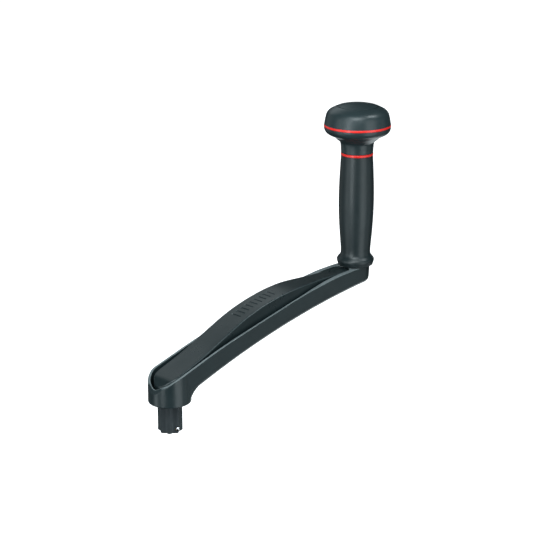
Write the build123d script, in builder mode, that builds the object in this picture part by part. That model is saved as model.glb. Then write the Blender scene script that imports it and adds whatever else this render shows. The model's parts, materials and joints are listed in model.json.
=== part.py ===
"""Lock-in winch handle: curved arm, release lever, star spindle with lock pins, spinning grip and palm knob.

Millimetres, +Z up. The origin is on the spindle axis at the hub's bottom face, +X runs along the arm
to the grip. Every separate piece is built in its own block and written to its own STEP file.
"""
import os

from build123d import *

os.makedirs("parts", exist_ok=True)

FAR = 300.0              # long enough to cut clean through
MIN = (Align.CENTER, Align.CENTER, Align.MIN)

# ---- arm -------------------------------------------------------------------------------------
THROW = 254.0            # spindle axis to grip axis
HUB_R = 20.6             # hub cylinder
SIDE_DRAFT = 3.0         # arm walls lean in towards the bottom
DRAFT_Z = 84.0           # height at which the two plan radii are true
HUB_PLAN_R = 23.3
END_PLAN_R = 14.9
BOTTOM_ROUND = 6.0       # rounded lower edge of the arm
HUB_BLEND = 9.0          # concave blend from hub to underside
GUSSET_INSET = 0.3       # keeps the gusset's sides inside the arm's walls
GUSSET_ROUND = 5.0
RIM_EDGE = 0.7           # rounded edges of the rim
HUB_EDGE = 1.0           # bottom edge of the hub
HUB_FLOOR = 6.0          # top of the hub's floor
WELL_R = 17.2            # round well over the hub floor
SKIN = 5.5               # floor thickness of the channel
PAD_Z = 82.0             # flat seat under the grip
UNDERSIDE = ((-40.0, -11.85), (120.9, 41.55), (290.0, 66.25))
RIM = ((-22.0, 8.5), (-17.8, 19.0), (-6.0, 27.9), (52.0, 46.4), (165.0, 73.6), (214.0, 80.6), (238.0, 82.0),
       (300.0, 82.0))
RIM_ROUND = (8.0, 30.0, 600.0, 500.0, 200.0, 100.0)

# ---- plan outlines of channel and lever: round hub end, two knees, round tip -----------------
KNEE_ROUND = 150.0
TIP_X = 230.0
CHANNEL_R = 17.7
CHANNEL_KNEES = ((160.0, 15.2), (198.0, 10.5))
CHANNEL_TIP_R = 10.1
LEVER_R = 14.7
LEVER_KNEES = ((160.0, 13.7), (198.0, 9.3))
LEVER_TIP_R = 9.0

# ---- release lever ---------------------------------------------------------------------------
LEVER_SKIN = 2.6
LEVER_EDGE = 1.4
LEVER_TOP = ((-16.2, 16.6), (-9.5, 24.8), (26.0, 38.0), (92.0, 68.6), (143.0, 80.5), (245.0, 80.8))
LEVER_TOP_ROUND = (14.0, 400.0, 225.0, 225.0)
LEVER_SKIRT = ((-20.0, 15.0), (3.0, 15.0), (27.0, 32.0), (60.0, 41.0), (104.0, 52.0), (142.0, 60.5),
               (181.0, 68.5), (211.0, 72.0), (245.0, 73.5))
GROOVE_START = 0.415     # shallow thumb grooves across the lever's crown, as a share of its length
GROOVE_PITCH = 6.0
GROOVE_COUNT = 9
GROOVE_R = 1.6
GROOVE_DEPTH = 0.5
GROOVE_HALF = 5.0
PUSH_PAD_Z = 22.65       # face that bears on the plunger
PUSH_PAD_R = 5.0
PIVOT_X = 222.0
PIVOT_Z = 75.0
PIVOT_R = 1.5
PIVOT_Y0 = -13.2         # blind end of the pin, near side
PIVOT_Y1 = 14.8          # driven end of the pin, far side
PIVOT_BLOCK = 11.0

# ---- spindle and lock ------------------------------------------------------------------------
RUN_FIT = 0.06           # radial clearance of a running fit
SQUARE = 17.4            # across flats of each of the two crossed squares
STAR_TIP_R = 11.8
SPINDLE_LEN = 30.0
SPINDLE_CHAMFER = 1.2
FLANGE_R = 15.4
FLANGE_TOP = 9.0
CUP_R = 9.0
CUP_TOP = 16.5
SPRING_SEAT_Z = 5.0
SPRING_BORE_R = 6.6
SPRING_R = 5.2
WIRE_R = 0.45
SPRING_TURNS = 4
SCREW_RING_R = 12.7
SCREW_ANGLE = 22.5        # the screws stand between the star's tips
SCREW_R = 1.5
SCREW_HEAD_R = 2.4
SCREW_HEAD_T = 1.6
SCREW_TIP_Z = 2.0
INSERT_R = 2.2
INSERT_Z = 1.6
CLIP_Z = 15.2
CLIP_T = 0.8
CLIP_R = 7.15
CLIP_BORE_R = 5.0
ROD_R = 3.0
ROD_WAIST_R = 1.334      # thin end of the lock taper
ROD_TIP_Z = -26.5
TAPER_LOW_Z = -25.7
TAPER_HIGH_Z = -20.4
HEAD_R = 6.3
HEAD_Z = 13.0
HEAD_T = 2.0
BUTTON_R = 3.5
BUTTON_TOP = 22.5
PIN_Z = -25.0
PIN_R = 1.9
PIN_HOLE_R = 2.4
PIN_BALL_IN = 4.82       # centre of the inner ball end
PIN_BALL_OUT = 10.8      # centre of the outer ball end
COLLAR_R = 2.3
COLLAR_IN = 5.0
COLLAR_OUT = 6.2
BUSH_R = 1.95
BUSH_IN = 6.5
BUSH_OUT = 9.6

# ---- grip axle and bearings ------------------------------------------------------------------
AXLE = Axis((THROW, 0, 0), (0, 0, 1))
AXLE_R = 6.0
AXLE_FLANGE_R = 7.2
AXLE_TOP = 226.9
SHANK_R = 5.0
SHANK_END_Z = 66.8
NUT_WELL_R = 9.0
NUT_SEAT_Z = 73.5
WASHER_T = 1.0
NUT_FLATS_R = 6.5
NUT_T = 5.2
TOP_SCREW_R = 1.6
TOP_SCREW_LEN = 12.0
BEARING_W = 5.0
INNER_RACE_R = 7.3
OUTER_RACE_R = 9.2
BEARING_R = 10.5
BALL_R = 1.19
BALL_PITCH_R = 8.25
BALL_COUNT = 14
RACE_GROOVE_R = 1.3
GRIP_LOW_Z = 87.0
GRIP_HIGH_Z = 188.0
KNOB_LOW_Z = 204.0
KNOB_HIGH_Z = 222.0
BORE_R = 9.8             # bore between bearing seats

# ---- grip and knob outlines as (radius, height) ----------------------------------------------
GRIP_FOOT_Z = 83.0
GRIP_TOP_Z = 197.7
GRIP_SHAPE = ((17.9, 83.0), (18.6, 85.2), (19.2, 88.0), (18.3, 90.2), (16.4, 92.3), (15.5, 94.2), (15.2, 96.8),
              (15.5, 103.0), (17.2, 125.0), (18.0, 152.0), (17.3, 178.0), (16.2, 197.7))
CORE_SHAPE = ((13.0, 83.6), (13.0, 104.0), (15.4, 140.0), (15.4, 165.0), (14.0, 197.7))
NECK_RING_R = 16.5
NECK_RING_T = 2.6
NECK_SHAPE = ((16.3, 200.7), (16.4, 203.0), (16.8, 208.0), (17.7, 211.5), (20.5, 214.0), (22.8, 216.0),
              (27.0, 218.5), (30.3, 220.2), (32.1, 221.8), (33.2, 223.6), (33.8, 226.0))
KNOB_INSIDE = ((28.4, 231.0), (28.4, 223.2), (24.0, 220.3), (17.0, 214.8), (13.5, 214.5), (13.5, 229.0))
KNOB_SPIGOT_R = 30.9
KNOB_LIP_Z = 227.3
KNOB_RING_R = 33.95
DOME_Z = 229.7
DOME_SHAPE = ((33.7, 229.7), (33.4, 231.6), (32.8, 235.0), (32.1, 238.2), (31.1, 241.0), (29.4, 243.2),
              (26.2, 245.3), (22.0, 247.2), (20.6, 247.7))
CAP_INSIDE = ((0.0, 243.6), (20.0, 243.6), (27.5, 240.6), (30.2, 236.5), (31.0, 231.2), (31.0, 229.7))
DISC_R = 20.0
DISC_SEAT_Z = 246.0
DISC_EDGE_Z = 248.0
DISC_TOP_Z = 250.7


def plan_outline(hub_r, knees, tip_r):
    """Closed plan outline of the channel or the lever."""
    side = [(0.0, hub_r), *knees, (TIP_X, tip_r)]
    left = FilletPolyline(*side, radius=KNEE_ROUND)
    right = FilletPolyline(*[(x, -y) for x, y in side], radius=KNEE_ROUND)
    ThreePointArc(left @ 1, (TIP_X + tip_r, 0), right @ 1)
    ThreePointArc(right @ 0, (-hub_r, 0), left @ 0)


def at_axle(points):
    """Shift (radius, height) points to the grip's axis."""
    return [(THROW + radius, height) for radius, height in points]


def ring(inner_r, outer_r, low, high):
    """Closed section of a plain ring round the grip's axis."""
    Polyline(*at_axle([(inner_r, low), (outer_r, low), (outer_r, high), (inner_r, high)]), close=True)


def runs_along_side(edge):
    """True for an edge that climbs along one side of the gusset."""
    size = edge.bounding_box().size
    return size.Z > 4 and size.Y < 4


def ball_height(along):
    """Height of a ball's centre that touches the arm's underside from below."""
    under_arc = ThreePointArc(*UNDERSIDE)
    reach = under_arc.radius - HUB_BLEND
    return under_arc.arc_center.Y + (reach ** 2 - (along - under_arc.arc_center.X) ** 2) ** 0.5


def lies_on_rim(edge):
    """True for an edge that runs along the rim curve."""
    points = [edge @ along for along in (0, 0.5, 1)]
    touches = all(rim.distance_to(Vector(point.X, point.Z, 0)) < 0.01 for point in points)
    return touches and edge.bounding_box().size.X > 0.1


# the star section shared by the spindle and the hole in the hub floor
with BuildSketch() as star:
    Rectangle(SQUARE, SQUARE)
    Rectangle(SQUARE, SQUARE, rotation=45)
    Circle(STAR_TIP_R, mode=Mode.INTERSECT)

# the channel: plan outline cut down to the floor curve, with the round well over the hub floor
with BuildPart() as channel:
    with BuildSketch(Plane.XY):
        with BuildLine():
            plan_outline(CHANNEL_R, CHANNEL_KNEES, CHANNEL_TIP_R)
        make_face()
    extrude(amount=120)
    with BuildSketch(Plane.XZ):
        with BuildLine():
            floor = ThreePointArc(*[(x, z + SKIN) for x, z in UNDERSIDE])
            Polyline(floor @ 1, (290, FAR), (-40, FAR), floor @ 0)
        make_face()
    extrude(amount=60, both=True, mode=Mode.INTERSECT)
    split(bisect_by=Plane.XY.offset(HUB_FLOOR), keep=Keep.TOP)
    with Locations((0, 0, HUB_FLOOR)):
        Cylinder(WELL_R, 60, align=MIN)

# gusset between hub and underside, hollowed by a ball rolled round the hub
roll_r = HUB_R + HUB_BLEND - 0.05
climb = (ball_height(roll_r) - ball_height(0.3 * roll_r)) / (0.7 * roll_r)
roll_plane = Plane(origin=(0, 0, ball_height(roll_r) - climb * roll_r + 0.04), x_dir=(1, 0, climb),
                   z_dir=(-climb, 0, 1))
slant = (1 + climb ** 2) ** 0.5
with BuildPart() as rolled_ball:
    with BuildLine(roll_plane):
        around_hub = EllipticalCenterArc((0, 0), roll_r * slant, roll_r, start_angle=-100, arc_size=200)
    with BuildSketch(Plane(origin=around_hub @ 0, z_dir=around_hub % 0)):
        Circle(HUB_BLEND)
    sweep()

with BuildPart() as gusset:
    with BuildSketch(Plane.XY.offset(-10)):
        Circle(HUB_PLAN_R - GUSSET_INSET)
        with Locations((THROW, 0)):
            Circle(END_PLAN_R - GUSSET_INSET)
        make_hull()
    extrude(amount=110)
    walls = gusset.faces().filter_by(lambda face: abs(face.normal_at().Z) < 0.1)
    draft(walls, Plane.XY.offset(DRAFT_Z), -SIDE_DRAFT)
    # ends where the ball touches the sloping underside
    with Locations((-HUB_BLEND * climb / slant, 0, -20)):
        Cylinder(roll_r, 50, align=MIN, mode=Mode.INTERSECT)
    split(bisect_by=roll_plane, keep=Keep.TOP)
    split(bisect_by=Plane.YZ.offset(2), keep=Keep.TOP)
    split(bisect_by=Plane.XY.offset(HUB_EDGE), keep=Keep.TOP)
    add(rolled_ball.part, mode=Mode.SUBTRACT)
    hollow_edges = gusset.faces().filter_by(GeomType.BSPLINE).edges()
    fillet(hollow_edges.filter_by(runs_along_side), GUSSET_ROUND)

with BuildPart() as hub:
    Cylinder(HUB_R, 45, align=MIN)
    fillet(hub.edges().sort_by(Axis.Z)[0], HUB_EDGE)

with BuildPart() as arm:
    with BuildSketch(Plane.XY.offset(-10)):
        Circle(HUB_PLAN_R)
        with Locations((THROW, 0)):
            Circle(END_PLAN_R)
        make_hull()
    extrude(amount=110)
    walls = arm.faces().filter_by(lambda face: abs(face.normal_at().Z) < 0.1)
    draft(walls, Plane.XY.offset(DRAFT_Z), -SIDE_DRAFT)
    with BuildSketch(Plane.XZ):
        with BuildLine():
            under = ThreePointArc(*UNDERSIDE)
            Polyline(under @ 1, (290, FAR), (-40, FAR), under @ 0)
        make_face()
    extrude(amount=60, both=True, mode=Mode.INTERSECT)
    belly = arm.faces().filter_by(lambda face: face.normal_at().Z < -0.5)
    fillet(belly[0].edges(), BOTTOM_ROUND)
    split(bisect_by=Plane.XY.offset(HUB_EDGE), keep=Keep.TOP)
    add(gusset.part)
    add(hub.part)
    # trim everything above the rim curve and the grip pad
    with BuildSketch(Plane.XZ):
        with BuildLine():
            rim = FilletPolyline(*RIM, radius=RIM_ROUND)
            Polyline(rim @ 1, (RIM[-1][0], FAR), (-50, FAR), (-50, RIM[0][1]), rim @ 0)
        make_face()
    extrude(amount=60, both=True, mode=Mode.SUBTRACT)
    add(channel.part, mode=Mode.SUBTRACT)
    rim_edges = arm.edges().filter_by(lies_on_rim)
    fillet(rim_edges, RIM_EDGE)
    with BuildSketch():
        offset(star.sketch, amount=RUN_FIT, kind=Kind.INTERSECTION)
    extrude(amount=HUB_FLOOR, mode=Mode.SUBTRACT)
    # blind pockets of the threaded inserts
    with Locations((0, 0, INSERT_Z)):
        with PolarLocations(SCREW_RING_R, 4, start_angle=SCREW_ANGLE):
            Cylinder(INSERT_R, 2 * HUB_FLOOR, align=MIN, mode=Mode.SUBTRACT)
    # lever pin hole, drilled from the far side and blind on the near side
    with Locations(Plane(origin=(PIVOT_X, PIVOT_Y0, PIVOT_Z), z_dir=(0, 1, 0))):
        Cylinder(PIVOT_R, 60, align=MIN, mode=Mode.SUBTRACT)
    # axle hole with the nut's recess underneath
    with Locations((THROW, 0, 40)):
        Cylinder(SHANK_R + RUN_FIT, 60, align=MIN, mode=Mode.SUBTRACT)
        Cylinder(NUT_WELL_R, NUT_SEAT_Z - 40, align=MIN, mode=Mode.SUBTRACT)

# ---- release lever ---------------------------------------------------------------------------
with BuildPart() as lever_hollow:
    with BuildSketch(Plane.XY):
        with BuildLine():
            inner_knees = [(x, y - LEVER_SKIN) for x, y in LEVER_KNEES]
            plan_outline(LEVER_R - LEVER_SKIN, inner_knees, LEVER_TIP_R - LEVER_SKIN)
        make_face()
    extrude(amount=120)
    with BuildSketch(Plane.XZ):
        with BuildLine():
            crown = FilletPolyline(*[(x, z - LEVER_SKIN) for x, z in LEVER_TOP], radius=LEVER_TOP_ROUND)
            Polyline(crown @ 1, (245, -10), (-16.2, -10), crown @ 0)
        make_face()
    extrude(amount=60, both=True, mode=Mode.INTERSECT)
    with Locations((PIVOT_X, 0, PIVOT_Z)):
        Box(PIVOT_BLOCK, 60, 60, mode=Mode.SUBTRACT)
    with Locations((0, 0, PUSH_PAD_Z)):
        Cylinder(PUSH_PAD_R, 60, align=MIN, mode=Mode.SUBTRACT)

with BuildPart() as release_lever:
    with BuildSketch(Plane.XY):
        with BuildLine():
            plan_outline(LEVER_R, LEVER_KNEES, LEVER_TIP_R)
        make_face()
    extrude(amount=120)
    with BuildSketch(Plane.XZ):
        with BuildLine():
            crown = FilletPolyline(*LEVER_TOP, radius=LEVER_TOP_ROUND)
            Polyline(crown @ 1, (245, -10), (-16.2, -10), crown @ 0)
        make_face()
    extrude(amount=60, both=True, mode=Mode.INTERSECT)
    top_edges = release_lever.faces().filter_by(lambda face: face.normal_at().Z > 0.3).edges()
    top_outline = [edge for edge in top_edges if sum(other.is_same(edge) for other in top_edges) == 1]
    fillet(top_outline, LEVER_EDGE)
    for step in range(GROOVE_COUNT):
        spot = crown @ (GROOVE_START + step * GROOVE_PITCH / crown.length)
        above = spot.Y + GROOVE_R - GROOVE_DEPTH
        with Locations(Plane(origin=(spot.X, -GROOVE_HALF, above), z_dir=(0, 1, 0))):
            Cylinder(GROOVE_R, 2 * GROOVE_HALF, align=MIN, mode=Mode.SUBTRACT)
        with Locations((spot.X, -GROOVE_HALF, above), (spot.X, GROOVE_HALF, above)):
            Sphere(GROOVE_R, mode=Mode.SUBTRACT)
    with BuildSketch(Plane.XZ):
        with BuildLine():
            Polyline(*LEVER_SKIRT, (245, FAR), (-20, FAR), close=True)
        make_face()
    extrude(amount=60, both=True, mode=Mode.INTERSECT)
    add(lever_hollow.part, mode=Mode.SUBTRACT)
    with Locations(Plane(origin=(PIVOT_X, -30, PIVOT_Z), z_dir=(0, 1, 0))):
        Cylinder(PIVOT_R + RUN_FIT, 60, align=MIN, mode=Mode.SUBTRACT)

with BuildPart() as lever_pivot_pin:
    with Locations(Plane(origin=(PIVOT_X, PIVOT_Y0, PIVOT_Z), z_dir=(0, 1, 0))):
        Cylinder(PIVOT_R, PIVOT_Y1 - PIVOT_Y0, align=MIN)
    chamfer(lever_pivot_pin.edges().sort_by(Axis.Y)[-1], 0.3)

# ---- spindle ---------------------------------------------------------------------------------
with BuildPart() as drive_spindle:
    with BuildSketch(Plane.XY.offset(-SPINDLE_LEN)):
        add(star.sketch)
    extrude(amount=SPINDLE_LEN + HUB_FLOOR)
    end_face = drive_spindle.faces().sort_by(Axis.Z)[0]
    chamfer(end_face.edges(), SPINDLE_CHAMFER)
    with Locations((0, 0, HUB_FLOOR)):
        Cylinder(FLANGE_R, FLANGE_TOP - HUB_FLOOR, align=MIN)
        Cylinder(CUP_R, CUP_TOP - HUB_FLOOR, align=MIN)
    with Locations((0, 0, SPRING_SEAT_Z)):
        Cylinder(SPRING_BORE_R, 20, align=MIN, mode=Mode.SUBTRACT)
    Cylinder(ROD_R + RUN_FIT, 2 * FAR, mode=Mode.SUBTRACT)
    with Locations((0, 0, CLIP_Z)):
        Cylinder(CLIP_R + 0.05, CLIP_T + 0.1, align=MIN, mode=Mode.SUBTRACT)
    with Locations((0, 0, HUB_FLOOR)):
        with PolarLocations(SCREW_RING_R, 4, start_angle=SCREW_ANGLE):
            Cylinder(SCREW_R + 0.15, 4, align=MIN, mode=Mode.SUBTRACT)
    with Locations(Plane(origin=(0, -20, PIN_Z), z_dir=(0, 1, 0))):
        Cylinder(PIN_HOLE_R, 40, align=MIN, mode=Mode.SUBTRACT)

with BuildPart() as threaded_inserts:
    with Locations((0, 0, INSERT_Z)):
        with PolarLocations(SCREW_RING_R, 4, start_angle=SCREW_ANGLE):
            Cylinder(INSERT_R, HUB_FLOOR - INSERT_Z, align=MIN)
            Cylinder(SCREW_R + 0.05, HUB_FLOOR, align=MIN, mode=Mode.SUBTRACT)

with BuildPart() as spindle_screws:
    with Locations((0, 0, SCREW_TIP_Z)):
        with PolarLocations(SCREW_RING_R, 4, start_angle=SCREW_ANGLE):
            Cylinder(SCREW_R, FLANGE_TOP - SCREW_TIP_Z, align=MIN)
    with Locations((0, 0, FLANGE_TOP)):
        with PolarLocations(SCREW_RING_R, 4, start_angle=SCREW_ANGLE):
            Cylinder(SCREW_HEAD_R, SCREW_HEAD_T, align=MIN)
    with BuildSketch(Plane.XY.offset(FLANGE_TOP + SCREW_HEAD_T)):
        with PolarLocations(SCREW_RING_R, 4, start_angle=SCREW_ANGLE):
            RegularPolygon(1.3, 6)
    extrude(amount=-1.1, mode=Mode.SUBTRACT)

with BuildPart() as pin_guide_bushes:
    for side in (1, -1):
        with Locations(Plane(origin=(0, side * BUSH_IN, PIN_Z), z_dir=(0, side, 0))):
            Cylinder(PIN_HOLE_R, BUSH_OUT - BUSH_IN, align=MIN)
            Cylinder(BUSH_R, BUSH_OUT - BUSH_IN, align=MIN, mode=Mode.SUBTRACT)

with BuildPart() as plunger_circlip:
    with BuildSketch(Plane.XY.offset(CLIP_Z + 0.05)):
        Circle(CLIP_R)
        Circle(CLIP_BORE_R, mode=Mode.SUBTRACT)
        with Locations((-CLIP_R, 0)):
            Rectangle(CLIP_R, 4.0, mode=Mode.SUBTRACT)
    extrude(amount=CLIP_T)

with BuildPart() as plunger_spring:
    spring_height = HEAD_Z - SPRING_SEAT_Z - 2 * WIRE_R - 0.04
    with BuildLine():
        coil = Helix(spring_height / SPRING_TURNS, spring_height, SPRING_R, (0, 0, SPRING_SEAT_Z + WIRE_R + 0.02))
    with BuildSketch(Plane(origin=coil @ 0, z_dir=coil % 0)):
        Circle(WIRE_R)
    sweep()

with BuildPart() as lock_plunger:
    with BuildSketch(Plane.XZ):
        with BuildLine():
            Polyline((0, ROD_TIP_Z), (ROD_R - 0.4, ROD_TIP_Z), (ROD_R, ROD_TIP_Z + 0.4), (ROD_R, TAPER_LOW_Z),
                     (ROD_WAIST_R, TAPER_HIGH_Z), (ROD_R, TAPER_HIGH_Z + ROD_R - ROD_WAIST_R), (ROD_R, HEAD_Z),
                     (HEAD_R, HEAD_Z), (HEAD_R, HEAD_Z + HEAD_T), (BUTTON_R, HEAD_Z + HEAD_T),
                     (BUTTON_R, BUTTON_TOP - 0.6), (BUTTON_R - 0.6, BUTTON_TOP), (0, BUTTON_TOP), close=True)
        make_face()
    revolve(axis=Axis.Z)

with BuildPart() as lock_pin_left:
    with Locations(Plane(origin=(0, PIN_BALL_IN, PIN_Z), z_dir=(0, 1, 0))):
        Cylinder(PIN_R, PIN_BALL_OUT - PIN_BALL_IN, align=MIN)
        Sphere(PIN_R)
    with Locations((0, PIN_BALL_OUT, PIN_Z)):
        Sphere(PIN_R)
    with Locations(Plane(origin=(0, COLLAR_IN, PIN_Z), z_dir=(0, 1, 0))):
        Cylinder(COLLAR_R, COLLAR_OUT - COLLAR_IN, align=MIN)

with BuildPart() as lock_pin_right:
    add(lock_pin_left.part.mirror(Plane.XZ))

# ---- grip axle -------------------------------------------------------------------------------
with BuildPart() as grip_axle:
    with BuildSketch(Plane.XZ):
        with BuildLine():
            Polyline(*at_axle([(0, SHANK_END_Z), (SHANK_R - 0.5, SHANK_END_Z), (SHANK_R, SHANK_END_Z + 0.5),
                               (SHANK_R, PAD_Z), (AXLE_FLANGE_R, PAD_Z), (AXLE_FLANGE_R, GRIP_LOW_Z),
                               (AXLE_R, GRIP_LOW_Z), (AXLE_R, AXLE_TOP), (TOP_SCREW_R, AXLE_TOP),
                               (TOP_SCREW_R, AXLE_TOP - TOP_SCREW_LEN - 1), (0, AXLE_TOP - TOP_SCREW_LEN - 1)]),
                     close=True)
        make_face()
    revolve(axis=AXLE)

with BuildPart() as axle_washer:
    with Locations((THROW, 0, NUT_SEAT_Z - WASHER_T)):
        Cylinder(NUT_WELL_R - 0.4, WASHER_T, align=MIN)
        Cylinder(SHANK_R + RUN_FIT, WASHER_T, align=MIN, mode=Mode.SUBTRACT)

with BuildPart() as axle_nut:
    with BuildSketch(Plane.XY.offset(NUT_SEAT_Z - WASHER_T - NUT_T)):
        with Locations((THROW, 0)):
            RegularPolygon(NUT_FLATS_R, 6, major_radius=False)
            Circle(SHANK_R, mode=Mode.SUBTRACT)
    extrude(amount=NUT_T)

with BuildPart() as top_washer:
    with BuildSketch(Plane.XZ):
        with BuildLine():
            ring(TOP_SCREW_R + 0.2, INNER_RACE_R, KNOB_HIGH_Z + BEARING_W, KNOB_HIGH_Z + BEARING_W + 1.0)
        make_face()
    revolve(axis=AXLE)

with BuildPart() as top_screw:
    with Locations((THROW, 0, AXLE_TOP - TOP_SCREW_LEN)):
        Cylinder(TOP_SCREW_R, TOP_SCREW_LEN + 1.1, align=MIN)
    with Locations((THROW, 0, KNOB_HIGH_Z + BEARING_W + 1.0)):
        Cylinder(2 * TOP_SCREW_R, 2.4, align=MIN)
    with BuildSketch(Plane.XY.offset(KNOB_HIGH_Z + BEARING_W + 3.4)):
        with Locations((THROW, 0)):
            RegularPolygon(1.5, 6)
    extrude(amount=-1.5, mode=Mode.SUBTRACT)

with BuildPart() as grip_spacer:
    with BuildSketch(Plane.XZ):
        with BuildLine():
            ring(AXLE_R + 0.05, AXLE_FLANGE_R, GRIP_LOW_Z + BEARING_W, GRIP_HIGH_Z)
        make_face()
    revolve(axis=AXLE)

with BuildPart() as neck_spacer:
    with BuildSketch(Plane.XZ):
        with BuildLine():
            ring(AXLE_R + 0.05, AXLE_FLANGE_R, GRIP_HIGH_Z + BEARING_W, KNOB_LOW_Z)
        make_face()
    revolve(axis=AXLE)

with BuildPart() as knob_spacer:
    with BuildSketch(Plane.XZ):
        with BuildLine():
            ring(AXLE_R + 0.05, AXLE_FLANGE_R, KNOB_LOW_Z + BEARING_W, KNOB_HIGH_Z)
        make_face()
    revolve(axis=AXLE)

# ---- grip ------------------------------------------------------------------------------------
with BuildPart() as grip_core:
    with BuildSketch(Plane.XZ):
        with BuildLine():
            Polyline(*at_axle([*CORE_SHAPE, (BEARING_R, GRIP_TOP_Z), (BEARING_R, GRIP_HIGH_Z), (BORE_R, GRIP_HIGH_Z),
                               (BORE_R, GRIP_LOW_Z + BEARING_W), (BEARING_R, GRIP_LOW_Z + BEARING_W),
                               (BEARING_R, CORE_SHAPE[0][1])]), close=True)
        make_face()
    revolve(axis=AXLE)

with BuildPart() as grip_cover:
    with BuildSketch(Plane.XZ):
        with BuildLine():
            skin = Spline(*at_axle(GRIP_SHAPE))
            Polyline(skin @ 1, *at_axle(CORE_SHAPE[::-1]), (THROW + CORE_SHAPE[0][0], GRIP_FOOT_Z), skin @ 0)
        make_face()
    revolve(axis=AXLE)

with BuildPart() as neck_ring:
    with BuildSketch(Plane.XZ):
        with BuildLine():
            ring(BORE_R, BEARING_R, GRIP_HIGH_Z + BEARING_W, GRIP_TOP_Z + 0.5)
        make_face()
        with BuildLine():
            ring(BORE_R, NECK_RING_R, GRIP_TOP_Z, GRIP_TOP_Z + NECK_RING_T)
        make_face()
    revolve(axis=AXLE)
    outer_rims = neck_ring.edges().filter_by(GeomType.CIRCLE)
    fillet([edge for edge in outer_rims if edge.radius > NECK_RING_R - 0.1], 0.8)

# ---- knob ------------------------------------------------------------------------------------
with BuildPart() as knob_body:
    with BuildSketch(Plane.XZ):
        with BuildLine():
            bell = Spline(*at_axle(NECK_SHAPE))
            Polyline(bell @ 1, *at_axle([(NECK_SHAPE[-1][0], KNOB_LIP_Z), (KNOB_SPIGOT_R, KNOB_LIP_Z),
                                         (KNOB_SPIGOT_R, KNOB_INSIDE[0][1]), *KNOB_INSIDE,
                                         (BEARING_R, KNOB_INSIDE[-1][1]), (BEARING_R, KNOB_HIGH_Z),
                                         (BORE_R, KNOB_HIGH_Z), (BORE_R, KNOB_LOW_Z + BEARING_W),
                                         (BEARING_R, KNOB_LOW_Z + BEARING_W), (BEARING_R, NECK_SHAPE[0][1])]),
                     bell @ 0)
        make_face()
    revolve(axis=AXLE)

with BuildPart() as knob_ring:
    with BuildSketch(Plane.XZ):
        with BuildLine():
            ring(KNOB_SPIGOT_R, KNOB_RING_R, KNOB_LIP_Z, DOME_Z)
        make_face()
    revolve(axis=AXLE)
    outer_rims = knob_ring.edges().filter_by(GeomType.CIRCLE)
    fillet([edge for edge in outer_rims if edge.radius > KNOB_RING_R - 0.1], 0.5)

with BuildPart() as knob_cap:
    with BuildSketch(Plane.XZ):
        with BuildLine():
            dome = Spline(*at_axle(DOME_SHAPE))
            Polyline(dome @ 1, *at_axle([(DOME_SHAPE[-1][0], DISC_SEAT_Z), (0, DISC_SEAT_Z), *CAP_INSIDE]), dome @ 0)
        make_face()
    revolve(axis=AXLE)

with BuildPart() as top_disc:
    crown_rise = DISC_TOP_Z - DISC_EDGE_Z
    crown_r = (DISC_R ** 2 + crown_rise ** 2) / (2 * crown_rise)
    with Locations((THROW, 0, DISC_SEAT_Z)):
        Cylinder(DISC_R, 2 * crown_rise, align=MIN)
    with Locations((THROW, 0, DISC_TOP_Z - crown_r)):
        Sphere(crown_r, mode=Mode.INTERSECT)

# ---- write every piece -----------------------------------------------------------------------
pieces = {
    "arm": arm, "release_lever": release_lever, "lever_pivot_pin": lever_pivot_pin,
    "drive_spindle": drive_spindle, "threaded_inserts": threaded_inserts, "spindle_screws": spindle_screws,
    "pin_guide_bushes": pin_guide_bushes, "plunger_circlip": plunger_circlip, "plunger_spring": plunger_spring,
    "lock_plunger": lock_plunger, "lock_pin_left": lock_pin_left, "lock_pin_right": lock_pin_right,
    "grip_axle": grip_axle, "axle_washer": axle_washer, "axle_nut": axle_nut,
    "top_washer": top_washer, "top_screw": top_screw,
    "grip_spacer": grip_spacer, "neck_spacer": neck_spacer, "knob_spacer": knob_spacer,
    "grip_core": grip_core, "grip_cover": grip_cover, "neck_ring": neck_ring,
    "knob_body": knob_body, "knob_ring": knob_ring, "knob_cap": knob_cap, "top_disc": top_disc,
}
for label, piece in pieces.items():
    piece.part.label = label
    export_step(piece.part, f"parts/{label}.step")

# four identical ball bearings, each an inner race, an outer race and a set of balls
bearings = {"grip_lower": GRIP_LOW_Z, "grip_upper": GRIP_HIGH_Z, "knob_lower": KNOB_LOW_Z, "knob_upper": KNOB_HIGH_Z}
for place, low in bearings.items():
    with BuildPart() as inner_race:
        with BuildSketch(Plane.XZ):
            with BuildLine():
                ring(AXLE_R, INNER_RACE_R, low, low + BEARING_W)
            make_face()
            with Locations((THROW + BALL_PITCH_R, low + BEARING_W / 2)):
                Circle(RACE_GROOVE_R, mode=Mode.SUBTRACT)
        revolve(axis=AXLE)
    with BuildPart() as outer_race:
        with BuildSketch(Plane.XZ):
            with BuildLine():
                ring(OUTER_RACE_R, BEARING_R, low, low + BEARING_W)
            make_face()
            with Locations((THROW + BALL_PITCH_R, low + BEARING_W / 2)):
                Circle(RACE_GROOVE_R, mode=Mode.SUBTRACT)
        revolve(axis=AXLE)
    with BuildPart() as balls:
        with Locations((THROW, 0, low + BEARING_W / 2)):
            with PolarLocations(BALL_PITCH_R, BALL_COUNT):
                Sphere(BALL_R)
    for kind, piece in (("inner_race", inner_race), ("outer_race", outer_race), ("balls", balls)):
        piece.part.label = f"{place}_{kind}"
        export_step(piece.part, f"parts/{place}_{kind}.step")
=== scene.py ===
"""Looks for the lock-in winch handle: materials, floor, soft studio light and camera."""

import json
import math

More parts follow.
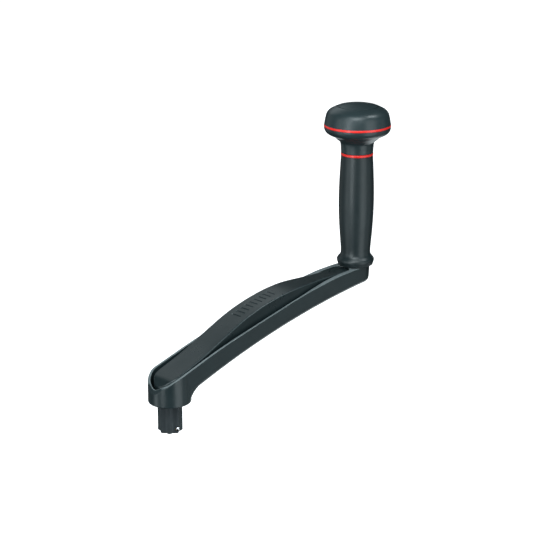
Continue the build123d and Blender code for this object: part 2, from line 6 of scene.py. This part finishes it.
import bpy
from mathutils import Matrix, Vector


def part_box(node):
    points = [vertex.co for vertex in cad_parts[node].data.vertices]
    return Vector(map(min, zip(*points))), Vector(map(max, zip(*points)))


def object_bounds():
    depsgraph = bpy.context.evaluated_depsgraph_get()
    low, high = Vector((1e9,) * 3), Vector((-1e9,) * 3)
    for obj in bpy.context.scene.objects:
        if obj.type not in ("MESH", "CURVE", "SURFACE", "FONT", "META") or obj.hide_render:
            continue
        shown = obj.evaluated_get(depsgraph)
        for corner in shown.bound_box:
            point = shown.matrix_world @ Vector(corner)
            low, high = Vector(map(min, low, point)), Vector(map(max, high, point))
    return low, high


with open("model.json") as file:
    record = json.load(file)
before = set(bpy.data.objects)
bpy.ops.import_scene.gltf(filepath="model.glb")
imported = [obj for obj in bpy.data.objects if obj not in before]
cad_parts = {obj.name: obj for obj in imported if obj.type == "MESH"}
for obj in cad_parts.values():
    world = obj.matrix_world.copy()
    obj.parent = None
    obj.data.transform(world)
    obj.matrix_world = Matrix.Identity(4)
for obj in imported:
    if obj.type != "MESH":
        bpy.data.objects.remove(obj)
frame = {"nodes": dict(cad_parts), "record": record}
cad_low, cad_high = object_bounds()
nodes = frame["nodes"]

MM = 0.001
WHITE = (1.0, 1.0, 1.0, 1.0)


# ---- shader building blocks ------------------------------------------------------------------
def new_material(name, base_color):
    """Node material with its Principled shader; the viewport colour follows the base colour."""
    mat = bpy.data.materials.new(name)
    mat.use_nodes = True
    mat.diffuse_color = (*base_color, 1.0)
    shader = mat.node_tree.nodes["Principled BSDF"]
    shader.inputs["Base Color"].default_value = (*base_color, 1.0)
    return mat, shader


def add(mat, kind, **values):
    """One shader node with its input sockets and properties set."""
    node = mat.node_tree.nodes.new(kind)
    for key, value in values.items():
        if key in node.inputs:
            node.inputs[key].default_value = value
        else:
            setattr(node, key, value)
    return node


def link(mat, out_socket, in_socket):
    mat.node_tree.links.new(out_socket, in_socket)


def coords(mat, stretch=(1, 1, 1)):
    """Object coordinates in metres, scaled along each axis."""
    tex = add(mat, "ShaderNodeTexCoord")
    mapping = add(mat, "ShaderNodeMapping")
    mapping.inputs["Scale"].default_value = stretch
    link(mat, tex.outputs["Object"], mapping.inputs["Vector"])
    return mapping.outputs["Vector"]


def noise(mat, vector, scale, detail=3.0, rough=0.55):
    """Noise from 0 to 1; scale is about how many spots it has per metre."""
    node = add(mat, "ShaderNodeTexNoise", Scale=scale, Detail=detail, Roughness=rough)
    link(mat, vector, node.inputs["Vector"])
    return node.outputs["Fac"]


def ramp(mat, fac, stops):
    """Colour ramp from a list of (position, grey or colour)."""
    node = add(mat, "ShaderNodeValToRGB")
    elements = node.color_ramp.elements
    while len(elements) < len(stops):
        elements.new(0.5)
    for element, (position, tone) in zip(elements, stops):
        element.position = position
        element.color = (tone, tone, tone, 1) if isinstance(tone, (int, float)) else (*tone, 1)
    link(mat, fac, node.inputs["Fac"])
    return node.outputs["Color"]


def mix(mat, fac, first, second):
    """Colour that goes from first to second as fac goes from 0 to 1."""
    node = add(mat, "ShaderNodeMix", data_type="RGBA")
    link(mat, fac, node.inputs[0])
    link(mat, first, node.inputs[6])
    link(mat, second, node.inputs[7])
    return node.outputs[2]


def bump(mat, shader, height, strength, distance, after=None):
    """Relief on the shader, on top of the relief in after; distance is its depth in metres."""
    node = add(mat, "ShaderNodeBump", Strength=strength, Distance=distance)
    link(mat, height, node.inputs["Height"])
    if after is not None:
        link(mat, after, node.inputs["Normal"])
    link(mat, node.outputs["Normal"], shader.inputs["Normal"])
    return node.outputs["Normal"]


def tint(color, factor):
    """The colour made lighter or darker."""
    return tuple(min(1.0, c * factor) for c in color)


def around(color, share):
    """The colour made darker, then lighter, by that share."""
    return tint(color, 1 - share), tint(color, 1 + share)


def facing(mat, axis, stops):
    """Mask from how far the surface turns along one axis, whichever way it points."""
    geometry = add(mat, "ShaderNodeNewGeometry")
    size = add(mat, "ShaderNodeVectorMath", operation="ABSOLUTE")
    split = add(mat, "ShaderNodeSeparateXYZ")
    link(mat, geometry.outputs["Normal"], size.inputs[0])
    link(mat, size.outputs[0], split.inputs[0])
    return ramp(mat, split.outputs[axis], stops)


def above_line(mat, node, line):
    """Mask: 1 above a line on the node's side view, 0 below. Points are shares of length and height."""
    low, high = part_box(node)
    geometry = add(mat, "ShaderNodeNewGeometry")
    split = add(mat, "ShaderNodeSeparateXYZ")
    link(mat, geometry.outputs["Position"], split.inputs[0])
    along = add(mat, "ShaderNodeMapRange", **{"From Min": low.x, "From Max": high.x})
    link(mat, split.outputs["X"], along.inputs["Value"])
    height = add(mat, "ShaderNodeMapRange", **{"From Min": low.z, "From Max": high.z})
    link(mat, split.outputs["Z"], height.inputs["Value"])
    over = add(mat, "ShaderNodeMath", operation="GREATER_THAN")
    link(mat, height.outputs["Result"], over.inputs[0])
    link(mat, ramp(mat, along.outputs["Result"], line), over.inputs[1])
    return over.outputs[0]


def painted_highlight_mask(mat, axis, stops, node=None, line=None):
    """Where a highlight is painted: by how the surface faces and, where the node has a line, only above it.
    """
    mask = facing(mat, axis, stops)
    if line is None:
        return mask
    both = add(mat, "ShaderNodeMath", operation="MULTIPLY")
    link(mat, mask, both.inputs[0])
    link(mat, above_line(mat, node, line), both.inputs[1])
    return both.outputs[0]


# ---- plastic ---------------------------------------------------------------------------------
PLASTIC_IOR = 1.49
TONE_PATCHES = 26.0          # spots per metre, as are the four below; the second below sets the speckle in the painted highlights
DUSTY_PATCHES = 70.0
PAINTED_HIGHLIGHT_SPECKS = 310.0
HANDLED_PATCHES = 38.0
SURFACE_WAVES = 55.0
SPECKS_PER_GRAIN = 0.45
GRAIN_DEPTH = 0.05 * MM
WAVE_DEPTH = 0.3 * MM
WAVE_STRENGTH = 0.05


def moulded_plastic(name, color, rough, grain, relief, painted_highlight=None, painted_highlight_color=None, shine=None):
    """Dark moulded plastic: fine grain, slow tone drift, dusty patches, polish from handling and an optional
    painted highlight.

    grain is its spots per metre and relief how strong they are. The next two arguments paint a highlight:
    where it goes, as the highlight mask function takes it, and in which lighter colour. shine is
    (axis, stops): how strongly it reflects, by how it faces.
    """
    mat, shader = new_material(name, color)
    shader.inputs["IOR"].default_value = PLASTIC_IOR
    place = coords(mat)
    dark, light = around(color, 0.14)
    drift = ramp(mat, noise(mat, place, TONE_PATCHES, 4.0), [(0.3, dark), (0.7, light)])
    grain_spots = noise(mat, place, grain * SPECKS_PER_GRAIN, 2.0)
    specks = ramp(mat, grain_spots, [(0.42, tint(color, 0.80)), (0.60, tint(color, 1.22))])
    patches = ramp(mat, noise(mat, place, DUSTY_PATCHES, 5.0), [(0.45, 0.0), (0.75, 0.55)])
    body = mix(mat, patches, drift, specks)
    # painted highlight: a lighter, speckled colour laid over the body where the mask says
    if painted_highlight is not None:
        dark, light = around(painted_highlight_color, 0.15)
        painted_highlight_tone = ramp(mat, noise(mat, place, PAINTED_HIGHLIGHT_SPECKS, 3.0), [(0.35, dark), (0.75, light)])
        body = mix(mat, painted_highlight_mask(mat, **painted_highlight), body, painted_highlight_tone)
    link(mat, body, shader.inputs["Base Color"])
    if shine is not None:
        link(mat, facing(mat, *shine), shader.inputs["Specular IOR Level"])
    polish = noise(mat, place, HANDLED_PATCHES, 5.0, 0.6)
    handled = ramp(mat, polish, [(0.3, rough - 0.06), (0.72, rough + 0.07)])
    link(mat, handled, shader.inputs["Roughness"])
    fine = bump(mat, shader, noise(mat, place, grain, 2.0, 0.5), relief, GRAIN_DEPTH)
    waves = noise(mat, place, SURFACE_WAVES, 2.0, 0.4)
    bump(mat, shader, waves, WAVE_STRENGTH, WAVE_DEPTH, after=fine)
    return mat


SLATE = (0.0098, 0.0165, 0.0182)
# painted highlight along the arm's rim, which faces up; the mask's line runs halfway between the rim and the
# floor of the channel
RIM_TOP = {
    "axis": "Z",
    "stops": [(0.55, 0.0), (0.80, 1.0)],
    "node": "arm",
    "line": [(0.0, 0.07), (0.015, 0.18), (0.047, 0.27), (0.235, 0.46), (0.456, 0.67), (0.715, 0.85),
             (1.0, 0.93)],
}
# painted highlight on the rounded edges along both sides of the lever's crown
CROWN_EDGE = {
    "axis": "Y",
    "stops": [(0.22, 0.0), (0.42, 1.0), (0.80, 1.0), (0.95, 0.0)],
}
PLASTICS = {
    # the arm and lever are the same plastic; the arm's base colour, 1.3 times the lever's, is painted light
    # on the arm's sides, and its pale rim colour is a painted highlight
    "arm_plastic": dict(color=tint(SLATE, 1.30), rough=0.34, grain=2600.0, relief=0.30,
                        painted_highlight=RIM_TOP, painted_highlight_color=(0.140, 0.164, 0.170)),
    # hands polish the lever's top, and its sides stay dull; the lighter colour on its crown's rounded edges
    # is a painted highlight
    "lever_plastic": dict(color=SLATE, rough=0.31, grain=2800.0, relief=0.26,
                          painted_highlight=CROWN_EDGE, painted_highlight_color=(0.030, 0.042, 0.045),
                          shine=("Y", [(0.80, 0.50), (0.97, 0.28)])),
    "grip_plastic": dict(color=tint(SLATE, 1.05), rough=0.40, grain=2200.0, relief=0.36),
    "knob_plastic": dict(color=tint(SLATE, 1.8), rough=0.36, grain=2400.0, relief=0.30),
    "disc_plastic": dict(color=tint(SLATE, 1.8), rough=0.40, grain=2000.0, relief=0.34),
    "core_plastic": dict(color=(0.03, 0.03, 0.03), rough=0.45, grain=1500.0, relief=0.4),
    "ring_red": dict(color=(0.80, 0.025, 0.020), rough=0.30, grain=2600.0, relief=0.15),
}

# ---- metal -----------------------------------------------------------------------------------
METAL_PATCHES = 90.0         # spots per metre, as is the one below
HANDLING_MARKS = 240.0
DULL_PER_LINE = 0.6
LINE_DEPTH = 0.02 * MM


def metal(name, color, rough, stretch, lines, relief, metallic=1.0):
    """Turned, ground or anodised metal: fine tool lines, tone drift and small handling marks.

    The tool lines are noise with that many spots per metre. stretch packs the spots closer along
    the axis that the lines cross or, below 1, draws them out along it. relief is their strength.
    """
    mat, shader = new_material(name, color)
    shader.inputs["Metallic"].default_value = metallic
    place = coords(mat)
    tool = coords(mat, stretch)
    dark, light = around(color, 0.12)
    drift = ramp(mat, noise(mat, place, METAL_PATCHES, 4.0), [(0.3, dark), (0.7, light)])
    tool_lines = noise(mat, tool, lines, 3.0)
    marks = ramp(mat, tool_lines, [(0.3, tint(color, 0.82)), (0.72, tint(color, 1.12))])
    fac = ramp(mat, noise(mat, place, HANDLING_MARKS, 3.0), [(0.35, 0.15), (0.7, 0.6)])
    link(mat, mix(mat, fac, drift, marks), shader.inputs["Base Color"])
    dull_lines = noise(mat, tool, lines * DULL_PER_LINE, 3.0)
    dulled = ramp(mat, dull_lines, [(0.3, rough - 0.05), (0.75, rough + 0.08)])
    link(mat, dulled, shader.inputs["Roughness"])
    bump(mat, shader, noise(mat, tool, lines, 2.0), relief, LINE_DEPTH)
    return mat


METALS = {
    "spindle_alloy": dict(color=(0.060, 0.072, 0.078), rough=0.34, stretch=(1, 1, 0.08), lines=1800.0,
                          relief=0.35, metallic=0.6),
    "stainless": dict(color=(0.55, 0.55, 0.56), rough=0.24, stretch=(1, 1, 12), lines=1500.0, relief=0.35),
    "pin_steel": dict(color=(0.78, 0.78, 0.80), rough=0.12, stretch=(1, 4, 1), lines=2200.0, relief=0.12),
    "bearing_steel": dict(color=(0.60, 0.60, 0.61), rough=0.16, stretch=(1, 1, 14), lines=2400.0, relief=0.2),
    "insert_brass": dict(color=(0.71, 0.50, 0.20), rough=0.28, stretch=(1, 1, 10), lines=1700.0, relief=0.3),
    "bush_bronze": dict(color=(0.55, 0.34, 0.16), rough=0.30, stretch=(1, 8, 1), lines=1900.0, relief=0.3),
    "spacer_alloy": dict(color=(0.70, 0.71, 0.72), rough=0.30, stretch=(1, 1, 16), lines=1300.0, relief=0.4),
}

# ---- every piece gets the material of its slot -----------------------------------------------
looks = {slot: moulded_plastic(slot, **spec) for slot, spec in PLASTICS.items()}
looks.update({slot: metal(slot, **spec) for slot, spec in METALS.items()})
slot_of = {part["node"]: part["material_slot"] for part in frame["record"]["subparts"]}
for name, obj in nodes.items():
    obj.data.materials.clear()
    obj.data.materials.append(looks[slot_of[name]])

# ---- floor -----------------------------------------------------------------------------------
FLOOR_GAP = 60 * MM
FLOOR_SIZE = 60.0


def studio_floor():
    """Plain white floor below the handle, which throws no light on it."""
    reach = FLOOR_SIZE / 2
    level = cad_low.z - FLOOR_GAP
    corners = [(-reach, -reach, level), (reach, -reach, level), (reach, reach, level), (-reach, reach, level)]
    mesh = bpy.data.meshes.new("studio_floor")
    mesh.from_pydata(corners, [], [(0, 1, 2, 3)])
    mat, shader = new_material("studio_floor", (0.9, 0.9, 0.9))
    shader.inputs["Roughness"].default_value = 0.9
    shader.inputs["Emission Color"].default_value = WHITE
    shader.inputs["Emission Strength"].default_value = 1.0
    mesh.materials.append(mat)
    ground = bpy.data.objects.new("studio_floor", mesh)
    ground.visible_glossy = False
    ground.visible_diffuse = False
    ground.visible_shadow = False
    bpy.context.collection.objects.link(ground)
    return ground


floor = studio_floor()

# ---- light -----------------------------------------------------------------------------------
FILL_STRENGTH = 0.02
LIGHT_TINT = (0.90, 1.0, 1.03)
LEFT_LIGHT_HEIGHT = 0.33     # this one shines level


def studio_world():
    """Faint fill light from all round; the camera sees it as a white backdrop behind the floor."""
    world = bpy.data.worlds.new("studio")
    world.use_nodes = True
    bpy.context.scene.world = world
    tree = world.node_tree
    fill = tree.nodes["Background"]
    fill.inputs["Color"].default_value = WHITE
    fill.inputs["Strength"].default_value = FILL_STRENGTH
    backdrop = tree.nodes.new("ShaderNodeBackground")
    backdrop.inputs["Color"].default_value = WHITE
    backdrop.inputs["Strength"].default_value = 1.0
    seen = tree.nodes.new("ShaderNodeLightPath")
    either = tree.nodes.new("ShaderNodeMixShader")
    tree.links.new(seen.outputs["Is Camera Ray"], either.inputs[0])
    tree.links.new(fill.outputs[0], either.inputs[1])
    tree.links.new(backdrop.outputs[0], either.inputs[2])
    tree.links.new(either.outputs[0], tree.nodes["World Output"].inputs["Surface"])


def soft_box(name, place, size, watts, aim):
    """Rectangular studio light at place, turned towards aim, faintly cool; lengths in metres."""
    data = bpy.data.lights.new(name, "AREA")
    data.shape = "RECTANGLE"
    data.size, data.size_y = size
    data.energy = watts
    data.color = LIGHT_TINT
    lamp = bpy.data.objects.new(name, data)
    lamp.location = place
    lamp.rotation_mode = "QUATERNION"
    lamp.rotation_quaternion = (Vector(aim) - Vector(place)).to_track_quat("-Z", "Y")
    bpy.context.collection.objects.link(lamp)


studio_world()
centre = (cad_low + cad_high) / 2
level_aim = (centre.x, centre.y, LEFT_LIGHT_HEIGHT)
soft_box("left_light", (-1.45, -0.36, LEFT_LIGHT_HEIGHT), (0.42, 1.56), 15.0, level_aim)
soft_box("far_left_light", (-1.35, 0.65, -0.10), (0.50, 2.2), 7.5, centre)
soft_box("right_light", (0.05, -1.60, -0.10), (0.70, 2.2), 11.0, centre)
soft_box("far_right_light", (0.60, -1.46, -0.10), (0.32, 2.2), 4.6, centre)
soft_box("end_light", (1.42, -1.05, -0.25), (0.45, 1.6), 1.4, centre)
soft_box("front_top_light", (-0.62, -0.68, 1.25), (0.90, 0.90), 21.0, centre)
soft_box("rim_light", (0.62, -0.55, 1.20), (0.40, 0.40), 6.0, centre)
soft_box("back_light", (0.60, 1.30, 1.10), (1.20, 0.80), 2.6, centre)
soft_box("far_side_light", (-0.20, 1.70, 0.20), (1.20, 1.60), 2.0, centre)
soft_box("far_end_light", (1.50, 0.95, -0.35), (0.80, 1.20), 4.0, centre)
soft_box("low_light", (1.10, 0.15, -1.00), (0.80, 0.80), 4.0, centre)

# ---- camera ----------------------------------------------------------------------------------
CAMERA_AZIMUTH = math.radians(-43.8)
CAMERA_ELEVATION = math.radians(17.1)
CAMERA_PLACE = (-967.45 * MM, -1141.23 * MM, 592.63 * MM)
CAMERA_LENS = 114.15         # in millimetres, as is the one below
SENSOR_WIDTH = 36.0
NEAREST_SEEN = 0.05
FURTHEST_SEEN = 100.0


def main_camera():
    """Camera at CAMERA_PLACE, looking down on the handle from its near left."""
    level_share = math.cos(CAMERA_ELEVATION)
    back = Vector((math.sin(CAMERA_AZIMUTH) * level_share,
                   -math.cos(CAMERA_AZIMUTH) * level_share,
                   math.sin(CAMERA_ELEVATION)))
    data = bpy.data.cameras.new("camera")
    data.lens = CAMERA_LENS
    data.sensor_width = SENSOR_WIDTH
    data.clip_start = NEAREST_SEEN
    data.clip_end = FURTHEST_SEEN
    camera = bpy.data.objects.new("camera", data)
    camera.location = CAMERA_PLACE
    camera.rotation_mode = "QUATERNION"
    camera.rotation_quaternion = (-back).to_track_quat("-Z", "Y")
    bpy.context.collection.objects.link(camera)
    bpy.context.scene.camera = camera


main_camera()
bpy.context.scene.view_settings.view_transform = "Standard"
